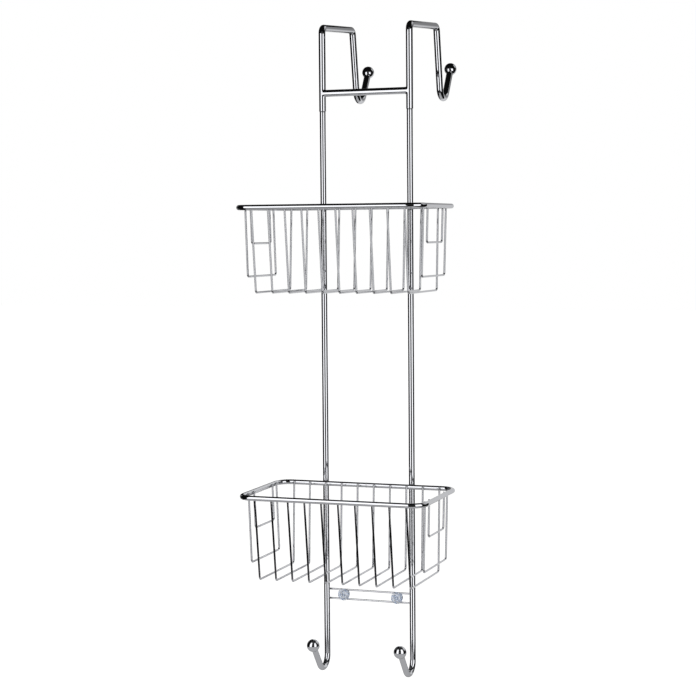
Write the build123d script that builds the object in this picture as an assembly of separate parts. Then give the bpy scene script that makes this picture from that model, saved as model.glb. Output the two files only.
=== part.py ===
"""Over-the-door shower caddy in chromed steel wire: a door hanger that slips over two long rods, two wire baskets
welded to the rods, hooks with ball tips at the top and bottom, and two suction cups on a pair of rails.

Row frame, in millimetres: +X to the user's right, +Y through the door, +Z up. The origin is midway between the two
door hooks, where the door's front face meets its top edge.
"""

from build123d import *
import os
from math import cos, radians, sin

# Wire and bar stock
HOOK_R = 4.0  # door hooks, 8 mm bar
CROSSBAR_R = 4.0
ROD_R = 3.5  # long rods, 7 mm wire
RIM_R = 2.85  # basket rims
WIRE_R = 1.1  # basket wires and cup rails
BALL_R = 7.5
SET_DOWN = 0.2  # how far a resistance weld sinks one wire into the next

# Door hanger
HOOK_SPACING = 108.0  # between the two hooks, and so between the two rods
HOOK_SPAN = 102.5  # front leg to rear leg, along Y at the top
TOP_BAR_RISE = 7.3  # the top bar climbs this much towards the back
TOP_BEND_R = 6.5
REAR_LEG_LENGTH = 109.0  # top bend to the corner of the rear hook
REAR_LEG_LEAN = 9.5  # degrees off vertical, away from the door
REAR_ARM_LENGTH = 71.3  # corner of the rear hook to its ball's centre
REAR_ARM_RISE = 58.0  # degrees above horizontal
REAR_BEND_R = 13.2
CROSSBAR_Z = -72.2
SOCKET_MOUTH_Z = -93.5  # lower end of the hook's front leg
SOCKET_DEPTH = 35.0
SOCKET_CLEARANCE = 0.05  # radial, spigot in socket
SOCKET_END_GAP = 0.5  # above the spigot's end
SPIGOT_R = 2.95  # the rod's turned-down upper end
SHOULDER_GAP = 0.1  # the rod's shoulder below the hook's lower end

# Long rods
ROD_Y = -HOOK_R  # the hooks' front legs touch the door's face
ROD_CORNER_Z = -780.2  # corner of the front hook, before its bend
FRONT_ARM_LENGTH = 75.7
FRONT_ARM_RISE = 52.3
FRONT_BEND_R = 14.0
ARM_END_SHORT_OF_CENTRE = 1.0  # a bar stops this far before its ball's centre

# Baskets
RIM_HALF_WIDTH = 110.0
RIM_DEPTH = 126.5
RIM_CORNER_R = 16.0
RIM_HEIGHTS = {"upper": -206.3, "lower": -533.0}
DROOP = {"upper": 0.0, "lower": 0.9}  # degrees that the basket hangs down towards its front
BASKET_DROP = 96.0  # rim centre to the bottom wires' centre
FRONT_WALL_INSET = 10.8  # how far the front wires lean in on the way down
BACK_WALL_INSET = 6.2
WIRE_COUNT = 10
WIRE_PITCH = 20.2
WIRE_BEND_R = 3.0
WIRE_TOP_ABOVE_RIM = 2.0  # wire ends above the rim's centre line

# Loops that close the basket's two ends: width along Y, drop below the rim, distance from the back rim, lean inwards
LOOPS = {
    "long": {"width": 81.9, "drop": 78.2, "from_back": 22.4, "lean": 2.3},
    "short": {"width": 54.6, "drop": 40.7, "from_back": 34.4, "lean": 1.2},
}

# Suction cups and their two rails
RAIL_HEIGHTS = {"upper": -661.7, "lower": -672.9}
RAIL_OVERHANG = 2.0  # past each rod's centre
CUP_X = 33.6
CUP_SLACK = 0.2  # between cup and rails
CUP_HEAD_R = 7.1
CUP_HEAD_THICKNESS = 1.8
CUP_NUB_R = 2.0
CUP_NUB_HEIGHT = 0.5
CUP_LIP_R = 6.0
CUP_LIP_Y = 3.4  # plane of the sealing lip
CUP_LIP_WIDTH = 0.7
CUP_SHOULDER_R = 5.5
CUP_HOLLOW_DEPTH = 1.1
CUP_HOLLOW_TOP_R = 2.5

# Places worked out from the sizes above
HOOK_X = HOOK_SPACING / 2
SIDES = {"left": -1, "right": 1}
RIM_BACK_Y = ROD_Y - ROD_R - RIM_R + SET_DOWN
RIM_FRONT_Y = RIM_BACK_Y - RIM_DEPTH
WIRE_OFFSET = RIM_R + WIRE_R - SET_DOWN  # rim's centre line to a wire's, on the rim's inside
RAIL_Y = ROD_Y + ROD_R + WIRE_R - SET_DOWN
SHOULDER_Z = SOCKET_MOUTH_Z - SHOULDER_GAP
SPIGOT_TOP_Z = SOCKET_MOUTH_Z + SOCKET_DEPTH - SOCKET_END_GAP


def bent_wire(points, bend_radii, wire_radius):
    """A round wire along straight runs that tangent arcs join."""
    path = FilletPolyline(*points, radius=bend_radii)
    return sweep(Plane(origin=path @ 0, z_dir=path % 0) * Circle(wire_radius), path=path)


def towards(start, across_y, up_z, length):
    """The point that lies a length away from start in a YZ plane, along a unit direction."""
    return Vector(*start) + Vector(0, across_y, up_z) * length


def ball_tip(centre, arm_direction, arm_radius):
    """A ball with the blind hole that its bar is welded into. arm_direction points along the bar to the ball."""
    hole_end = Vector(*centre) - arm_direction * ARM_END_SHORT_OF_CENTRE
    hole_start = Vector(*centre) - arm_direction * (BALL_R + 1)
    hole = Plane(origin=hole_start, z_dir=arm_direction) * Circle(arm_radius)
    return Pos(*centre) * Sphere(BALL_R) - extrude(hole, amount=(hole_end - hole_start).length)


def door_hook(x):
    """An over-door hook with its socket, and the ball on its rear end."""
    lean, rise = radians(REAR_LEG_LEAN), radians(REAR_ARM_RISE)
    mouth = Vector(x, ROD_Y, SOCKET_MOUTH_Z)
    front_top = Vector(x, ROD_Y, HOOK_R)
    rear_top = Vector(x, ROD_Y + HOOK_SPAN, HOOK_R + TOP_BAR_RISE)
    corner = towards(rear_top, sin(lean), -cos(lean), REAR_LEG_LENGTH)
    arm = Vector(0, cos(rise), sin(rise))
    ball_centre = corner + arm * REAR_ARM_LENGTH
    bar_end = ball_centre - arm * ARM_END_SHORT_OF_CENTRE
    points = [mouth, front_top, rear_top, corner, bar_end]
    bar = bent_wire(points, [TOP_BEND_R, TOP_BEND_R, REAR_BEND_R], HOOK_R)
    bore = Plane(origin=mouth) * Circle(SPIGOT_R + SOCKET_CLEARANCE)
    return bar - extrude(bore, amount=SOCKET_DEPTH), ball_tip(ball_centre, arm, HOOK_R)


def long_rod(x):
    """A long rod from its spigot in the socket down to its front hook, and the ball on that hook."""
    rise = radians(FRONT_ARM_RISE)
    corner = Vector(x, ROD_Y, ROD_CORNER_Z)
    arm = Vector(0, -cos(rise), sin(rise))
    ball_centre = corner + arm * FRONT_ARM_LENGTH
    points = [Vector(x, ROD_Y, SHOULDER_Z), corner, ball_centre - arm * ARM_END_SHORT_OF_CENTRE]
    rod = bent_wire(points, [FRONT_BEND_R], ROD_R)
    spigot = extrude(Plane(origin=points[0]) * Circle(SPIGOT_R), amount=SPIGOT_TOP_Z - SHOULDER_Z)
    return rod + spigot, ball_tip(ball_centre, arm, ROD_R)


def crossbar():
    """The bar between the two hooks, with its ends coped to sit against them."""
    section = Plane(origin=(-HOOK_X, ROD_Y, CROSSBAR_Z), z_dir=(1, 0, 0)) * Circle(CROSSBAR_R)
    bar = extrude(section, amount=HOOK_SPACING)
    for x in (-HOOK_X, HOOK_X):
        bar -= Pos(x, ROD_Y, CROSSBAR_Z) * Cylinder(HOOK_R, 4 * CROSSBAR_R)
    return bar.solids().sort_by(SortBy.VOLUME)[-1]


def cup_rail(z):
    """One of the two straight rails that hold the suction cups, welded behind the rods."""
    half = HOOK_X + RAIL_OVERHANG
    return extrude(Plane(origin=(-half, RAIL_Y, z), z_dir=(1, 0, 0)) * Circle(WIRE_R), amount=2 * half)


def basket_rim(z):
    """A basket's rim: a closed ring of heavier wire, a rectangle with round corners."""
    middle_y = (RIM_FRONT_Y + RIM_BACK_Y) / 2
    outline = Pos(0, middle_y, z) * RectangleRounded(2 * RIM_HALF_WIDTH, RIM_DEPTH, RIM_CORNER_R)
    path = outline.wire()
    return sweep(Plane(origin=path @ 0, z_dir=path % 0) * Circle(RIM_R), path=path)


def basket_wire(x, z):
    """A wire from the front rim under the basket to the back rim, welded on the rim's inside."""
    front_slope, back_slope = FRONT_WALL_INSET / BASKET_DROP, BACK_WALL_INSET / BASKET_DROP
    front_y, back_y = RIM_FRONT_Y + WIRE_OFFSET, RIM_BACK_Y - WIRE_OFFSET
    top_z, bottom_z = z + WIRE_TOP_ABOVE_RIM, z - BASKET_DROP
    points = [
        Vector(x, front_y - front_slope * WIRE_TOP_ABOVE_RIM, top_z),
        Vector(x, front_y + FRONT_WALL_INSET, bottom_z),
        Vector(x, back_y - BACK_WALL_INSET, bottom_z),
        Vector(x, back_y + back_slope * WIRE_TOP_ABOVE_RIM, top_z),
    ]
    return bent_wire(points, [WIRE_BEND_R, WIRE_BEND_R], WIRE_R)


def end_loop(side, z, width, drop, from_back, lean):
    """A U of wire that hangs from the rim at one end of the basket."""
    back_y = RIM_BACK_Y - from_back
    front_y = back_y - width
    rim_x = side * (RIM_HALF_WIDTH - WIRE_OFFSET)
    top_x = rim_x + side * lean * WIRE_TOP_ABOVE_RIM / drop
    top_z, low_x, low_z = z + WIRE_TOP_ABOVE_RIM, rim_x - side * lean, z - drop
    points = [
        Vector(top_x, front_y, top_z),
        Vector(low_x, front_y, low_z),
        Vector(low_x, back_y, low_z),
        Vector(top_x, back_y, top_z),
    ]
    return bent_wire(points, [WIRE_BEND_R, WIRE_BEND_R], WIRE_R)


def suction_cup(x):
    """A one-piece soft cup: a head in front of the rails, a neck between them, and the cup behind them."""
    rail_gap = RAIL_HEIGHTS["upper"] - RAIL_HEIGHTS["lower"]
    neck_r = rail_gap / 2 - WIRE_R - CUP_SLACK
    head_back = RAIL_Y - WIRE_R - CUP_SLACK
    head_front = head_back - CUP_HEAD_THICKNESS
    shoulder = RAIL_Y + WIRE_R + CUP_SLACK
    chamfer = CUP_HEAD_THICKNESS / 4
    profile = Polyline(
        (0, head_front - CUP_NUB_HEIGHT),
        (CUP_NUB_R, head_front - CUP_NUB_HEIGHT),
        (CUP_NUB_R, head_front),
        (CUP_HEAD_R - chamfer, head_front),
        (CUP_HEAD_R, head_front + chamfer),
        (CUP_HEAD_R, head_back),
        (neck_r, head_back),
        (neck_r, shoulder),
        (CUP_SHOULDER_R, shoulder),
        (CUP_LIP_R, CUP_LIP_Y),
        (CUP_LIP_R - CUP_LIP_WIDTH, CUP_LIP_Y),
        (CUP_HOLLOW_TOP_R, CUP_LIP_Y - CUP_HOLLOW_DEPTH),
        (0, CUP_LIP_Y - CUP_HOLLOW_DEPTH),
        close=True,
    )
    turned = revolve(make_face(profile), axis=Axis.Y)
    return Pos(x, 0, sum(RAIL_HEIGHTS.values()) / 2) * turned


def basket(name):
    """All the pieces of one basket, by node name."""
    z = RIM_HEIGHTS[name]
    pieces = {f"{name}_basket_rim": basket_rim(z)}
    for i in range(WIRE_COUNT):
        x = (i - (WIRE_COUNT - 1) / 2) * WIRE_PITCH
        pieces[f"{name}_basket_wire_{i + 1:02d}"] = basket_wire(x, z)
    for side, sign in SIDES.items():
        for length, sizes in LOOPS.items():
            pieces[f"{name}_basket_{side}_{length}_loop"] = end_loop(sign, z, **sizes)
    back_rim = Axis((0, RIM_BACK_Y, z), (1, 0, 0))
    return {node: piece.rotate(back_rim, DROOP[name]) for node, piece in pieces.items()}


def caddy():
    """Every piece of the caddy, by node name."""
    pieces = {}
    for side, sign in SIDES.items():
        hook, rear_ball = door_hook(sign * HOOK_X)
        rod, front_ball = long_rod(sign * HOOK_X)
        pieces[f"{side}_door_hook"] = hook
        pieces[f"{side}_rear_ball_tip"] = rear_ball
        pieces[f"{side}_rod"] = rod
        pieces[f"{side}_front_ball_tip"] = front_ball
        pieces[f"{side}_suction_cup"] = suction_cup(sign * CUP_X)
    pieces["hanger_crossbar"] = crossbar()
    for name, z in RAIL_HEIGHTS.items():
        pieces[f"{name}_cup_rail"] = cup_rail(z)
    for name in RIM_HEIGHTS:
        pieces |= basket(name)
    return pieces


os.makedirs("parts", exist_ok=True)
for node, shape in caddy().items():
    export_step(shape, f"parts/{node}.step")
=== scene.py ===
from math import atan2, ceil, cos, degrees, pi, radians, sin, sqrt, tan

import bpy
from mathutils import Matrix, Vector, noise


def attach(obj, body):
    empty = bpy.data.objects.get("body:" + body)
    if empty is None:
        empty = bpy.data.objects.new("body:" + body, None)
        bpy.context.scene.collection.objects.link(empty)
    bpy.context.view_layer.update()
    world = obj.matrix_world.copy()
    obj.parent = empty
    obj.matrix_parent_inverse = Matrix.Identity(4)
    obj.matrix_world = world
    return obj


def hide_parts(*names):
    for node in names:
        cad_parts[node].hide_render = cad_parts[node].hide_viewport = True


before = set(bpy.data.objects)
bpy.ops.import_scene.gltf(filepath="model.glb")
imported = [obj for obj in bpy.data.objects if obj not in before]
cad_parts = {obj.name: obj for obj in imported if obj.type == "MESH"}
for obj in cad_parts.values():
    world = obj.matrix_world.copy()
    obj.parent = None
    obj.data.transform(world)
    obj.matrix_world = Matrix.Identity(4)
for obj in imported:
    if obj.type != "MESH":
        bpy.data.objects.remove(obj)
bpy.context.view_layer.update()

MM = 0.001
X, Y, Z = Vector((1, 0, 0)), Vector((0, 1, 0)), Vector((0, 0, 1))
SIDES = {"left": -1, "right": 1}

# Sizes in millimetres and angles in degrees, in the caddy's own frame
HOOK_R, CROSSBAR_R, ROD_R, RIM_R, WIRE_R, BALL_R = 4.0, 4.0, 3.5, 2.85, 1.1, 7.5
SET_DOWN = 0.2  # how far a resistance weld sinks one wire into the next
HOOK_X = 54.0
HOOK_SPAN, TOP_BAR_RISE, TOP_BEND_R = 102.5, 7.3, 6.5
REAR_LEG, REAR_LEAN, REAR_ARM, REAR_RISE, REAR_BEND_R = 109.0, 9.5, 71.3, 58.0, 13.2
CROSSBAR_Z = -72.2
SOCKET_MOUTH_Z, SOCKET_DEPTH, SOCKET_CLEARANCE, SOCKET_END_GAP = -93.5, 35.0, 0.05, 0.5
LIP_HEIGHT, LIP_BULGE = 2.4, 0.06  # the rolled lip round the socket's mouth
SPIGOT_R, SPIGOT_TAPER, SHOULDER_GAP, SHOULDER_ROUND = 2.95, 0.5, 0.1, 0.25
ROD_Y = -HOOK_R
ROD_CORNER_Z, FRONT_ARM, FRONT_RISE, FRONT_BEND_R = -780.2, 75.7, 52.3, 14.0
BALL_HOLE = 1.0  # the hole for the bar ends this far short of the ball's centre
RIM_HALF, RIM_DEPTH, RIM_CORNER_R = 110.0, 126.5, 16.0
RIM_BACK_Y = ROD_Y - ROD_R - RIM_R + SET_DOWN
RIM_FRONT_Y = RIM_BACK_Y - RIM_DEPTH
RIM_Z = {"upper": -206.3, "lower": -533.0}
DROOP = {"upper": 0.0, "lower": 0.9}  # how far the basket hangs down towards its front
BASKET_DROP, FRONT_INSET, BACK_INSET = 96.0, 10.8, 6.2
WIRE_COUNT, WIRE_PITCH, WIRE_BEND_R, WIRE_TOP = 10, 20.2, 3.0, 2.0
WIRE_OFFSET = RIM_R + WIRE_R - SET_DOWN
LOOPS = {
    "long": {"width": 81.9, "drop": 78.2, "from_back": 22.4, "lean": 2.3},
    "short": {"width": 54.6, "drop": 40.7, "from_back": 34.4, "lean": 1.2},
}
RAIL_Z = {"upper": -661.7, "lower": -672.9}
RAIL_Y = ROD_Y + ROD_R + WIRE_R - SET_DOWN
RAIL_OVERHANG = 2.0
CUP_X, CUP_Z = 33.6, (RAIL_Z["upper"] + RAIL_Z["lower"]) / 2
CUP_SLACK, CUP_HEAD = 0.2, 1.8  # between cup and rails, and the thickness of its head
CUP_LIP_Y = 3.4  # past the door's face, until the lip is pressed flat against it

# Finish of the metal: weld fillets, wires' sawn ends and the swellings at resistance welds
CROSSBAR_FILLET, REAR_BALL_FILLET, FRONT_BALL_FILLET = 1.3, 0.6, 0.5
RAIL_END, BASKET_END = 0.3, 0.35  # rounding of a sawn end, as a share of the wire's radius
END_SWELL = 0.04  # how far a sawn end stands out in its middle, as a share of the wire's radius
WELD_DEPTH = SET_DOWN / 2  # from a wire's surface to the middle of its weld
ROD_WELD, RAIL_WELD = (2.6, 1.3, 2.6), (1.9, 0.8, 1.5)  # half sizes in X, Y and Z
WIRE_WELD, LOOP_WELD = (1.45, 0.75, 1.5), (0.75, 1.45, 1.5)
RIM_JOINT, RIM_JOINT_SWELL = 1.1, 0.25  # half length and swelling of the butt weld that closes a rim

# How finely the surfaces are divided
HOOK_FACETS, ROD_FACETS, RIM_FACETS, WIRE_FACETS, BALL_FACETS, CUP_FACETS = 40, 36, 32, 20, 48, 72
BAR_STEP, WIRE_STEP = 4, 5  # degrees between the rings of a bend
GUARD = 1.0  # a ring this far inside each end of a straight run keeps the run's shading straight


# ---------------------------------------------------------------- mesh making


class Shell:
    """Vertices and faces of one piece, in millimetres, before they become a mesh."""

    def __init__(self):
        self.points = []
        self.faces = []

    def ring(self, points):
        first = len(self.points)
        self.points += points
        return list(range(first, len(self.points)))

    def bridge(self, a, b):
        for i in range(len(a)):
            j = (i + 1) % len(a)
            self.faces.append((a[i], a[j], b[j], b[i]))

    def join(self, rings):
        for a, b in zip(rings, rings[1:]):
            self.bridge(a, b)

    def close(self, ring, tip, flip=False):
        centre = self.ring([tip])[0]
        for i in range(len(ring)):
            j = (i + 1) % len(ring)
            face = (ring[j], ring[i], centre) if flip else (ring[i], ring[j], centre)
            self.faces.append(face)

    def solid(self, rings, first_tip, last_tip):
        """Joins the rings one after another, and closes the first and the last of them onto their tips."""
        self.join(rings)
        self.close(rings[0], first_tip, flip=True)
        self.close(rings[-1], last_tip)

    def droop(self, name):
        """Turns the shell about the basket's back rim, by as much as that basket hangs down."""
        pivot = Vector((0, RIM_BACK_Y, RIM_Z[name]))
        turn = Matrix.Rotation(radians(DROOP[name]), 3, "X")
        self.points = [pivot + turn @ (p - pivot) for p in self.points]

    def piece(self, name, body, node, material):
        mesh = bpy.data.meshes.new(name)
        mesh.from_pydata([p * MM for p in self.points], [], self.faces)
        mesh.polygons.foreach_set("use_smooth", [True] * len(mesh.polygons))
        mesh.materials.append(material)
        mesh.update()
        obj = bpy.data.objects.new(name, mesh)
        bpy.context.collection.objects.link(obj)
        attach(obj, body)
        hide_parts(node)


def bent(points, radii, step):
    """(place, direction) along straight runs and the tangent arcs between them."""
    stops = [(points[0], (points[1] - points[0]).normalized())]
    for a, b, c, r in zip(points, points[1:], points[2:], radii):
        u, v = (b - a).normalized(), (c - b).normalized()
        turn = u.angle(v)
        axis = u.cross(v).normalized()
        start = b - u * r * tan(turn / 2)
        centre = start + axis.cross(u) * r
        count = max(3, ceil(turn / radians(step)))
        for i in range(count + 1):
            rotation = Matrix.Rotation(turn * i / count, 3, axis)
            stops.append((centre + rotation @ (start - centre), rotation @ u))
    stops.append((points[-1], (points[-1] - points[-2]).normalized()))
    guarded = [stops[0]]
    for (p, d), (q, e) in zip(stops, stops[1:]):
        if (q - p).length > 4 * GUARD:
            guarded += [(p + d * GUARD, d), (q - e * GUARD, e)]
        guarded.append((q, e))
    return guarded


def circle(centre, direction, side, radius, facets):
    other = direction.cross(side).normalized()
    return [
        centre + (side * cos(2 * pi * i / facets) + other * sin(2 * pi * i / facets)) * radius
        for i in range(facets)
    ]


def swept(shell, stops, side, radius, facets):
    """A ring round each stop. side is square to the plane that the wire is bent in."""
    return [shell.ring(circle(place, way, side, radius, facets)) for place, way in stops]


def sawn_end(shell, ring, place, way, out, side, edge):
    """A sawn and tumbled end: a rounded edge, then a face that swells slightly in the middle."""
    for k in (1, 2, 3):
        angle = k * pi / 6
        centre = place + way * out * edge * sin(angle)
        inner = shell.ring(circle(centre, way, side, WIRE_R - edge * (1 - cos(angle)), WIRE_FACETS))
        shell.join([ring, inner] if out > 0 else [inner, ring])
        ring = inner
    shell.close(ring, place + way * out * (edge + END_SWELL * WIRE_R), flip=out < 0)


def wire(shell, points, radii, side, end):
    """Thin wire through the points. Its sawn ends are rounded by the share end of its radius."""
    edge = end * WIRE_R
    stops = bent(points, radii, WIRE_STEP)
    (start, d0), (finish, d1) = stops[0], stops[-1]
    start, finish = start + d0 * edge, finish - d1 * edge
    rings = swept(shell, [(start, d0)] + stops[1:-1] + [(finish, d1)], side, WIRE_R, WIRE_FACETS)
    shell.join(rings)
    sawn_end(shell, rings[0], start, d0, -1, side, edge)
    sawn_end(shell, rings[-1], finish, d1, 1, side, edge)


def turned(shell, profile, centre, axis, side, facets):
    """A closed solid turned about axis. profile is (along, radius) pairs, and starts and ends on the axis."""
    rings = [shell.ring(circle(centre + axis * s, axis, side, r, facets)) for s, r in profile[1:-1]]
    shell.solid(rings, centre + axis * profile[0][0], centre + axis * profile[-1][0])


def nugget(shell, centre, halves, seed, facets=14, rows=8):
    """The small swelling of metal that a resistance weld squeezes out between two wires."""
    lumpiness, lump_size = 0.12, 1.7

    def place(row, i):
        a, e = 2 * pi * i / facets, pi * row / rows
        way = Vector((sin(e) * cos(a), sin(e) * sin(a), -cos(e)))
        swell = 1 + lumpiness * noise.noise(way * lump_size + Vector((seed, 0, 0)))
        return centre + Vector(h * c * swell for h, c in zip(halves, way))

    rings = [shell.ring([place(row, i) for i in range(facets)]) for row in range(1, rows)]
    shell.solid(rings, place(0, 0), place(rows, 0))


def arc(cx, cy, radius, start, end, count):
    """Points of a profile along an arc, angles in degrees."""
    steps = [radians(start + (end - start) * i / count) for i in range(count + 1)]
    return [(cx + radius * cos(a), cy + radius * sin(a)) for a in steps]


# ---------------------------------------------------------------- shader maths


class Num:
    """A number that varies over a surface. Arithmetic on it adds Math nodes."""

    def __init__(self, nodes, socket):
        self.nodes = nodes
        self.socket = socket

    def maths(self, operation, *values, clamp=False):
        inputs = dict(enumerate(values))
        return self.nodes.add("Math", {"operation": operation, "use_clamp": clamp}, inputs)

    def __add__(self, other):
        return self.maths("ADD", self, other)

    def __sub__(self, other):
        return self.maths("SUBTRACT", self, other)

    def __rsub__(self, other):
        return self.maths("SUBTRACT", other, self)

    def __mul__(self, other):
        return self.maths("MULTIPLY", self, other)

    __radd__ = __add__
    __rmul__ = __mul__

    def clamped(self):
        return self.maths("ADD", self, 0.0, clamp=True)

    def smooth(self, low, high):
        """0 below low, 1 above high, and an even curve between them."""
        settings = {"interpolation_type": "SMOOTHSTEP"}
        return self.nodes.add("MapRange", settings, {"Value": self, "From Min": low, "From Max": high})

    def band(self, low, high, soft):
        """1 between low and high, and 0 outside them."""
        return self.smooth(low - soft, low + soft) * (1 - self.smooth(high - soft, high + soft))


class Nodes:
    """The node tree of a material or of the world, emptied and filled again."""

    def __init__(self, owner):
        owner.use_nodes = True
        self.tree = owner.node_tree
        self.tree.nodes.clear()

    def add(self, kind, settings=(), inputs=(), output=0):
        """A node: its settings first, then its sockets' values or links. Gives the wanted output."""
        node = self.tree.nodes.new("ShaderNode" + kind)
        for name, value in dict(settings).items():
            setattr(node, name, value)
        for key, value in dict(inputs).items():
            if isinstance(value, Num):
                self.tree.links.new(value.socket, node.inputs[key])
            else:
                node.inputs[key].default_value = value
        return Num(self, node.outputs[output]) if len(node.outputs) else node

    def place(self):
        return self.add("TexCoord", output="Object")

    def noise(self, place, scale, detail, roughness=0.5):
        inputs = {"Vector": place, "Scale": scale, "Detail": detail, "Roughness": roughness}
        return self.add("TexNoise", {}, inputs)

    def colours(self, factor, a, b):
        settings = {"data_type": "RGBA"}
        return self.add("Mix", settings, {"Factor": factor, 6: (*a, 1), 7: (*b, 1)}, output=2)

    def surface(self, inputs):
        shader = self.add("BsdfPrincipled", {}, inputs)
        self.add("OutputMaterial", {}, {"Surface": shader})


def chrome(name, scratch, ripple):
    """Bright chrome plate: nearly a mirror, with a faint haze, a few specks and the drawn wire's ripple."""
    bright, dull, edge_tint = (0.575, 0.580, 0.600), (0.52, 0.525, 0.55), (0.7, 0.7, 0.7, 1)
    polish, speck_matt, ripple_depth = 0.02, 0.10, 0.2 * MM
    material = bpy.data.materials.new(name)
    nodes = Nodes(material)
    place = nodes.place()
    haze = nodes.noise(place, scale=30.0, detail=3.0)
    specks = nodes.noise(place, scale=900.0, detail=2.0, roughness=0.6).smooth(0.70, 0.78)
    drawn = nodes.noise(place, scale=60.0, detail=1.0)
    bump = {"Strength": ripple, "Distance": ripple_depth, "Height": drawn}
    nodes.surface({
        "Base Color": nodes.colours((haze * 0.4 + specks * 0.3).clamped(), bright, dull),
        "Metallic": 1.0,
        "Roughness": polish + haze * scratch + specks * speck_matt,
        "Normal": nodes.add("Bump", {}, bump),
        "Specular Tint": edge_tint,
    })
    return material


def vinyl(name):
    """Soft clear vinyl with a blue cast, clouded in patches, with fine moulding marks."""
    blue, clear = (0.56, 0.66, 0.84), (0.97, 0.98, 1.0)
    gloss, cloud_matt, mark_depth = 0.10, 0.12, 0.3 * MM
    material = bpy.data.materials.new(name)
    nodes = Nodes(material)
    place = nodes.place()
    cloud = nodes.noise(place, scale=420.0, detail=3.0).smooth(0.36, 0.64)
    grain = nodes.noise(place, scale=2600.0, detail=2.0)
    bump = {"Strength": 0.25, "Distance": mark_depth, "Height": grain * 0.4 + cloud}
    nodes.surface({
        "Base Color": nodes.colours(cloud, blue, clear),
        "Roughness": gloss + cloud * cloud_matt,
        "IOR": 1.5,
        "Transmission Weight": 0.5,
        "Normal": nodes.add("Bump", {}, bump),
    })
    return material


BAR_CHROME = chrome("bar_chrome", scratch=0.03, ripple=0.006)
WIRE_CHROME = chrome("wire_chrome", scratch=0.04, ripple=0.008)
BALL_CHROME = chrome("ball_chrome", scratch=0.02, ripple=0.004)
CUP_VINYL = vinyl("cup_vinyl")


# ---------------------------------------------------------------- the hanger


def ball_tip(node, body, centre, arm, bar_r, fillet):
    """A ball with a blind hole for its bar and a brazed fillet round the bar. arm points to the ball."""
    rim_r = bar_r + fillet
    mouth, rim = sqrt(BALL_R**2 - bar_r**2), sqrt(BALL_R**2 - rim_r**2)
    a, b, c = (-(mouth + fillet), bar_r), (-mouth, bar_r), (-rim, rim_r)
    profile = [(-BALL_HOLE, 0), (-BALL_HOLE, bar_r), a]
    for i in range(1, 6):
        t = i / 6
        profile.append(tuple((1 - t) ** 2 * p + 2 * t * (1 - t) * q + t * t * r for p, q, r in zip(a, b, c)))
    profile += arc(0, 0, BALL_R, 180 - degrees(atan2(rim_r, rim)), 0, 30)
    shell = Shell()
    turned(shell, profile, centre, arm, X, BALL_FACETS)
    shell.piece(node + "_chromed", body, node, BALL_CHROME)


def door_hook(side):
    """An over-door hook with the socket in its lower end, and the ball on its rear end."""
    x = SIDES[side] * HOOK_X
    lean, rise = radians(REAR_LEAN), radians(REAR_RISE)
    mouth = Vector((x, ROD_Y, SOCKET_MOUTH_Z))
    front_top = Vector((x, ROD_Y, HOOK_R))
    rear_top = Vector((x, ROD_Y + HOOK_SPAN, HOOK_R + TOP_BAR_RISE))
    corner = rear_top + Vector((0, sin(lean), -cos(lean))) * REAR_LEG
    arm = Vector((0, cos(rise), sin(rise)))
    ball = corner + arm * REAR_ARM
    shell = Shell()
    bore, bulge = SPIGOT_R + SOCKET_CLEARANCE, HOOK_R + LIP_BULGE
    lip = [(SOCKET_DEPTH, bore), (0.3, bore), (0.08, bore + 0.12), (0, bore + 0.35), (0, HOOK_R - 0.3)]
    lip += [(0.1, HOOK_R - 0.08), (0.3, bulge), (LIP_HEIGHT / 2, bulge), (LIP_HEIGHT, HOOK_R)]
    rings = [shell.ring(circle(mouth + Z * s, Z, X, r, HOOK_FACETS)) for s, r in lip]
    points = [mouth + Z * LIP_HEIGHT, front_top, rear_top, corner, ball - arm * BALL_HOLE]
    stops = bent(points, [TOP_BEND_R, TOP_BEND_R, REAR_BEND_R], BAR_STEP)[1:]
    rings += swept(shell, stops, X, HOOK_R, HOOK_FACETS)
    shell.solid(rings, mouth + Z * SOCKET_DEPTH, points[-1])
    node = f"{side}_door_hook"
    shell.piece(node + "_chromed", "hanger", node, BAR_CHROME)
    ball_tip(f"{side}_rear_ball_tip", "hanger", ball, arm, HOOK_R, REAR_BALL_FILLET)


def crossbar():
    """The bar between the hooks, coped at both ends, with a hand-run weld fillet round each."""
    shell = Shell()
    straight, sunk = 1.5, 0.04  # from the fillet to the bar's first ring, and from the weld into the hook
    widest = 0.97 * HOOK_R  # past this the cope runs straight in
    unevenness = 0.22

    def ring(end, radius, back):
        """Points round the bar, each back(angle) from the hook's surface towards the bar's middle."""
        points = []
        for i in range(HOOK_FACETS):
            a = 2 * pi * i / HOOK_FACETS
            y = max(-widest, min(widest, radius * cos(a)))
            x = HOOK_X - sqrt(HOOK_R**2 - y * y) - back(a)
            points.append(Vector((end * x, ROD_Y + y, CROSSBAR_Z + radius * sin(a))))
        return points

    def weld(end):
        """The rings of one end: along the bar, up the fillet, then in over the coped face."""

        def run(a):
            bead = noise.noise(Vector((2 * cos(a), 2 * sin(a), end * 3.1)))
            return CROSSBAR_FILLET * (1 + unevenness * bead)

        steps = [ring(end, CROSSBAR_R, lambda a: run(a) + straight)]
        for i in range(7):
            t = i / 6
            steps.append(ring(end, CROSSBAR_R + CROSSBAR_FILLET * t * t, lambda a: run(a) * (1 - t) ** 2))
        return steps + [ring(end, CROSSBAR_R * share, lambda a: -sunk) for share in (1, 0.7, 0.35)]

    rings = [shell.ring(points) for points in weld(-1)[::-1] + weld(1)]
    tip = HOOK_X - HOOK_R + sunk
    shell.solid(rings, Vector((-tip, ROD_Y, CROSSBAR_Z)), Vector((tip, ROD_Y, CROSSBAR_Z)))
    shell.piece("hanger_crossbar_chromed", "hanger", "hanger_crossbar", BAR_CHROME)


# ---------------------------------------------------------------- the frame


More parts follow.
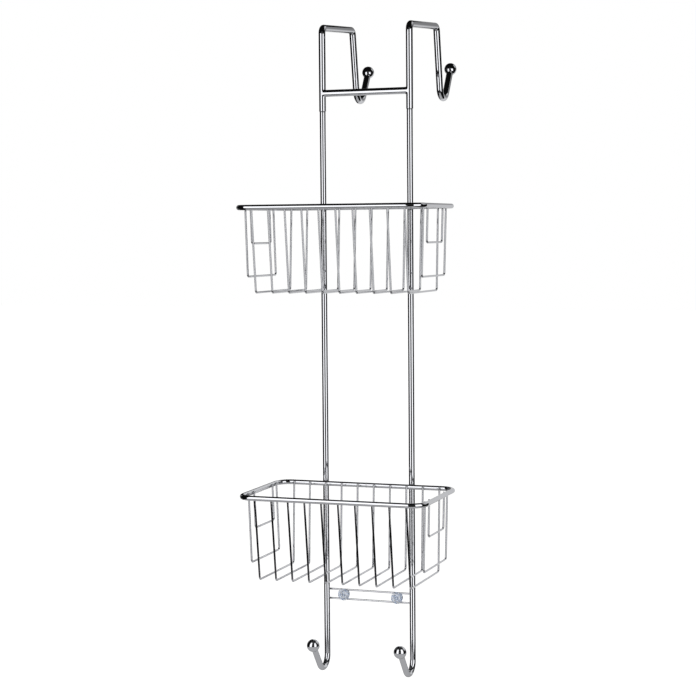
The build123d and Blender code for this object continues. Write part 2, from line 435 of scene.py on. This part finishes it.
def long_rod(side):
    """A long rod, from the spigot at its top down to its front hook, and the ball on that hook."""
    x = SIDES[side] * HOOK_X
    rise = radians(FRONT_RISE)
    corner = Vector((x, ROD_Y, ROD_CORNER_Z))
    arm = Vector((0, -cos(rise), sin(rise)))
    ball = corner + arm * FRONT_ARM
    shoulder = Vector((x, ROD_Y, SOCKET_MOUTH_Z - SHOULDER_GAP))
    length = SOCKET_DEPTH - SOCKET_END_GAP + SHOULDER_GAP
    shell = Shell()
    spigot = [(length, SPIGOT_R - SPIGOT_TAPER), (length - SPIGOT_TAPER, SPIGOT_R), (0, SPIGOT_R)]
    spigot += [(0, ROD_R - SHOULDER_ROUND), (-0.07, ROD_R - 0.07), (-SHOULDER_ROUND, ROD_R)]
    rings = [shell.ring(circle(shoulder + Z * s, -Z, X, r, ROD_FACETS)) for s, r in spigot]
    points = [shoulder - Z * SHOULDER_ROUND, corner, ball - arm * BALL_HOLE]
    stops = bent(points, [FRONT_BEND_R], BAR_STEP)[1:]
    rings += swept(shell, stops, X, ROD_R, ROD_FACETS)
    shell.solid(rings, shoulder + Z * length, points[-1])
    node = f"{side}_rod"
    shell.piece(node + "_chromed", "frame", node, BAR_CHROME)
    ball_tip(f"{side}_front_ball_tip", "frame", ball, arm, ROD_R, FRONT_BALL_FILLET)


def cup_rail(name):
    """One of the two straight rails for the suction cups, welded behind the rods."""
    z, half = RAIL_Z[name], HOOK_X + RAIL_OVERHANG
    shell = Shell()
    wire(shell, [Vector((-half, RAIL_Y, z)), Vector((half, RAIL_Y, z))], [], Z, RAIL_END)
    for x in (-HOOK_X, HOOK_X):
        nugget(shell, Vector((x, RAIL_Y - WIRE_R + WELD_DEPTH, z)), RAIL_WELD, x + z)
    node = f"{name}_cup_rail"
    shell.piece(node + "_chromed", "frame", node, WIRE_CHROME)


def basket_rim(name):
    """A rim: a closed ring of heavy wire, butt-welded in the middle of its back and welded to both rods."""
    z = RIM_Z[name]
    joint = Vector((0, RIM_BACK_Y, z))
    right_end = [Vector((RIM_HALF, y, z)) for y in (RIM_BACK_Y, RIM_FRONT_Y)]
    left_end = [Vector((-RIM_HALF, y, z)) for y in (RIM_FRONT_Y, RIM_BACK_Y)]
    points = [joint] + right_end + left_end + [joint]
    shell = Shell()
    rings = swept(shell, bent(points, [RIM_CORNER_R] * 4, BAR_STEP)[:-1], Z, RIM_R, RIM_FACETS)
    shell.join(rings + rings[:1])
    for x in (-HOOK_X, HOOK_X):
        nugget(shell, joint + Vector((x, RIM_R - WELD_DEPTH, 0)), ROD_WELD, x + z)
    swollen = RIM_R + RIM_JOINT_SWELL
    nugget(shell, joint, (RIM_JOINT, swollen, swollen), z, facets=28, rows=12)
    shell.droop(name)
    node = f"{name}_basket_rim"
    shell.piece(node + "_chromed", "frame", node, BAR_CHROME)


def basket_wire(name, number):
    """A wire from the front rim down, under the basket and up to the back rim."""
    z = RIM_Z[name]
    x = (number - 1 - (WIRE_COUNT - 1) / 2) * WIRE_PITCH
    front_slope, back_slope = FRONT_INSET / BASKET_DROP, BACK_INSET / BASKET_DROP
    front_y, back_y = RIM_FRONT_Y + WIRE_OFFSET, RIM_BACK_Y - WIRE_OFFSET
    points = [
        Vector((x, front_y - front_slope * WIRE_TOP, z + WIRE_TOP)),
        Vector((x, front_y + FRONT_INSET, z - BASKET_DROP)),
        Vector((x, back_y - BACK_INSET, z - BASKET_DROP)),
        Vector((x, back_y + back_slope * WIRE_TOP, z + WIRE_TOP)),
    ]
    shell = Shell()
    wire(shell, points, [WIRE_BEND_R] * 2, X, BASKET_END)
    for y in (RIM_FRONT_Y + RIM_R - WELD_DEPTH, RIM_BACK_Y - RIM_R + WELD_DEPTH):
        nugget(shell, Vector((x, y, z)), WIRE_WELD, x + y + z)
    shell.droop(name)
    node = f"{name}_basket_wire_{number:02d}"
    shell.piece(node + "_chromed", "frame", node, WIRE_CHROME)


def end_loop(name, side, length):
    """One of the two U-shaped loops that close an end of the basket, both its tops welded inside the rim."""
    z, out = RIM_Z[name], SIDES[side]
    width, drop, from_back, lean = (LOOPS[length][k] for k in ("width", "drop", "from_back", "lean"))
    back_y = RIM_BACK_Y - from_back
    front_y = back_y - width
    rim_x = out * (RIM_HALF - WIRE_OFFSET)
    top = Vector((rim_x + out * lean * WIRE_TOP / drop, 0, z + WIRE_TOP))
    low = Vector((rim_x - out * lean, 0, z - drop))
    front, back = Y * front_y, Y * back_y
    outward = (low - top).normalized().cross(Y)
    shell = Shell()
    points = [top + front, low + front, low + back, top + back]
    wire(shell, points, [WIRE_BEND_R] * 2, outward, BASKET_END)
    for y in (front_y, back_y):
        place = Vector((out * (RIM_HALF - RIM_R + WELD_DEPTH), y, z))
        nugget(shell, place, LOOP_WELD, y + z + out)
    shell.droop(name)
    node = f"{name}_basket_{side}_{length}_loop"
    shell.piece(node + "_chromed", "frame", node, WIRE_CHROME)


# ---------------------------------------------------------------- suction cups


def suction_cup(side):
    """One soft moulding: a head with a sprue ring, a neck between the rails, and a thin cup with a lip."""
    neck = (RAIL_Z["upper"] - RAIL_Z["lower"]) / 2 - WIRE_R - CUP_SLACK
    back, shoulder = RAIL_Y - WIRE_R - CUP_SLACK, RAIL_Y + WIRE_R + CUP_SLACK
    front, lip = back - CUP_HEAD, CUP_LIP_Y
    # the sprue ring and the head's face
    profile = [(front + 0.1, 0), (front + 0.1, 0.7), (front - 0.1, 0.95)]
    profile += arc(front - 0.2, 1.6, 0.3, 200, 80, 5)
    profile += [(front + 0.05, 2.3), (front + 0.1, 3.2), (front + 0.02, 4.2), (front, 5.6)]
    # the head's edge, then in to the neck
    profile += arc(front + 0.6, 6.5, 0.6, 180, 95, 5)
    profile += arc(back - 0.5, 6.6, 0.5, 85, 5, 5)
    profile += [(back, 5.4), (back + 0.02, neck + 0.25), (back + 0.25, neck)]
    profile += [(RAIL_Y, neck - 0.12), (shoulder - 0.25, neck), (shoulder, neck + 0.3)]
    # out along the cup's back, round its lip and into the hollow
    profile += [(shoulder + 0.03, 4.9), (shoulder + 0.2, 5.35), (lip - 0.7, 5.75)]
    profile += arc(lip - 0.3, 5.7, 0.3, 100, 10, 4)
    profile += [(lip, 5.3), (lip - 0.15, 5.05), (lip - 0.6, 4.2), (lip - 0.95, 3.2)]
    profile += [(lip - 1.1, 1.6), (lip - 1.1, 0)]
    shell = Shell()
    turned(shell, profile, Vector((SIDES[side] * CUP_X, 0, CUP_Z)), Y, X, CUP_FACETS)
    node = f"{side}_suction_cup"
    shell.piece(node + "_moulded", f"{side}_cup", node, CUP_VINYL)


for side in SIDES:
    door_hook(side)
    long_rod(side)
    suction_cup(side)
crossbar()
for name in RAIL_Z:
    cup_rail(name)
for name in RIM_Z:
    basket_rim(name)
    for number in range(1, WIRE_COUNT + 1):
        basket_wire(name, number)
    for side in SIDES:
        for length in LOOPS:
            end_loop(name, side, length)


# ---------------------------------------------------------------- the studio, in metres


def studio():
    """White ahead of the camera. The chrome sees a dark room, lighter up in front, with two lights behind."""
    world = bpy.data.worlds.new("studio")
    bpy.context.scene.world = world
    nodes = Nodes(world)
    way = nodes.add("TexCoord", output="Generated")
    x, y, z = (nodes.add("SeparateXYZ", {}, {"Vector": way}, output=i) for i in range(3))
    bearing = x.maths("ARCTAN2", x, y * -1)
    up = z.maths("ARCSINE", z)
    deg = radians(1)
    gap = bearing.band(-12 * deg, 50 * deg, 4 * deg) * up.band(2 * deg, 22 * deg, 4 * deg)
    rear_left = bearing.band(-142 * deg, -118 * deg, 3 * deg) * up.band(-35 * deg, 25 * deg, 5 * deg)
    rear_right = bearing.band(115 * deg, 160 * deg, 4 * deg) * up.band(18 * deg, 50 * deg, 4 * deg)
    light = gap * 0.10 + rear_left * 0.4 + rear_right * 0.9 + 0.010
    room = nodes.add("Background", {}, {"Color": (1, 1, 1, 1), "Strength": light})
    backdrop = nodes.add("Background", {}, {"Color": (1, 1, 1, 1), "Strength": 1.0})
    seen = nodes.add("LightPath", output="Is Camera Ray")
    mixed = nodes.add("MixShader", {}, {0: seen, 1: room, 2: backdrop})
    nodes.add("OutputWorld", {}, {"Surface": mixed})


def glow(name, bottom, top=None, low=None, high=None):
    """A plain glowing surface. With a top, it goes from bottom at the height low to top at high."""
    material = bpy.data.materials.new(name)
    nodes = Nodes(material)
    inputs = {"Base Color": (0, 0, 0, 1), "Specular IOR Level": 0.0, "Emission Color": (1, 1, 1, 1)}
    inputs["Emission Strength"] = bottom
    if top is not None:
        height = nodes.add("SeparateXYZ", {}, {"Vector": nodes.place()}, output=2)
        inputs["Emission Color"] = nodes.colours(height.smooth(low, high), (1, 1, 1), (top / bottom,) * 3)
    nodes.surface(inputs)
    return material


def sheet(name, corners, material):
    mesh = bpy.data.meshes.new(name)
    mesh.from_pydata(corners, [], [(0, 1, 2, 3)])
    mesh.materials.append(material)
    obj = bpy.data.objects.new(name, mesh)
    bpy.context.collection.objects.link(obj)
    return obj


def cards():
    """The white card behind the caddy and the grey table under it, seen by reflection and refraction only."""
    back, left, right, low, high = 0.62, -0.33, 0.40, -1.3, 0.25
    front, half_width, table = -0.55, 0.45, -0.86
    upright = [(left, back, low), (right, back, low), (right, back, high), (left, back, high)]
    flat = [(-half_width, front, table), (half_width, front, table), (half_width, back, table)]
    flat.append((-half_width, back, table))
    white = sheet("white_card", upright, glow("white_card", bottom=1.12, top=0.5, low=-0.12, high=0.06))
    grey = sheet("grey_table", flat, glow("grey_table", bottom=0.72))
    for obj in (white, grey):
        obj.visible_camera = obj.visible_shadow = obj.visible_diffuse = False


def soft_box(name, left, right):
    """A leaning soft box between two bearings: its top edge is near the caddy, its wider bottom edge far."""
    near, far, high, low, brightness = 0.56, 2.0, 0.06, -1.16, 1.9
    spots = [(near, left, high), (near, right, high), (far, right, low), (far, left, low)]
    corners = [(d * sin(radians(a)), -d * cos(radians(a)), z) for d, a, z in spots]
    obj = sheet(name, corners, glow(name, brightness))
    obj.visible_camera = obj.visible_shadow = False


def fill_light():
    """A broad light from the front, which the chrome doesn't show."""
    light = bpy.data.lights.new("fill_light", "AREA")
    light.size, light.energy = 1.2, 6.0
    obj = bpy.data.objects.new("fill_light", light)
    obj.location, obj.rotation_euler = (0.2, -1.6, -0.4), (pi / 2, 0, 0)
    obj.visible_camera = obj.visible_glossy = False
    bpy.context.collection.objects.link(obj)


def floor():
    """A wide pale floor, which the chrome doesn't show."""
    half, z = 20.0, -1.25
    material = bpy.data.materials.new("pale_floor")
    nodes = Nodes(material)
    shade = nodes.noise(nodes.place(), scale=1.5, detail=2.0)
    colour = nodes.colours(shade, (0.97, 0.97, 0.97), (0.99, 0.99, 0.99))
    lit = {"Emission Color": colour, "Emission Strength": 1.0}
    nodes.surface({"Base Color": colour, "Roughness": 0.8} | lit)
    obj = sheet("floor", [(-half, -half, z), (half, -half, z), (half, half, z), (-half, half, z)], material)
    obj.visible_glossy = obj.visible_diffuse = obj.visible_transmission = False


def camera():
    """A long lens in front and to the right, at the height of the upper basket."""
    place, bearing, tilt, roll = (0.7309, -2.0146, -0.2323), 20.76, 85.93, -0.485
    data = bpy.data.cameras.new("camera")
    data.lens, data.sensor_width = 94.2, 36
    data.shift_x, data.shift_y = 0.0074, 0.0164
    data.clip_end = 100
    obj = bpy.data.objects.new("camera", data)
    turn = Matrix.Rotation(radians(bearing), 4, "Z") @ Matrix.Rotation(radians(tilt), 4, "X")
    obj.matrix_world = Matrix.Translation(place) @ turn @ Matrix.Rotation(radians(roll), 4, "Z")
    bpy.context.collection.objects.link(obj)
    bpy.context.scene.camera = obj


studio()
cards()
soft_box("left_soft_box", left=-45, right=-6)
soft_box("right_soft_box", left=38, right=80)
fill_light()
floor()
camera()
view = bpy.context.scene.view_settings
view.view_transform, view.gamma = "Standard", 0.86
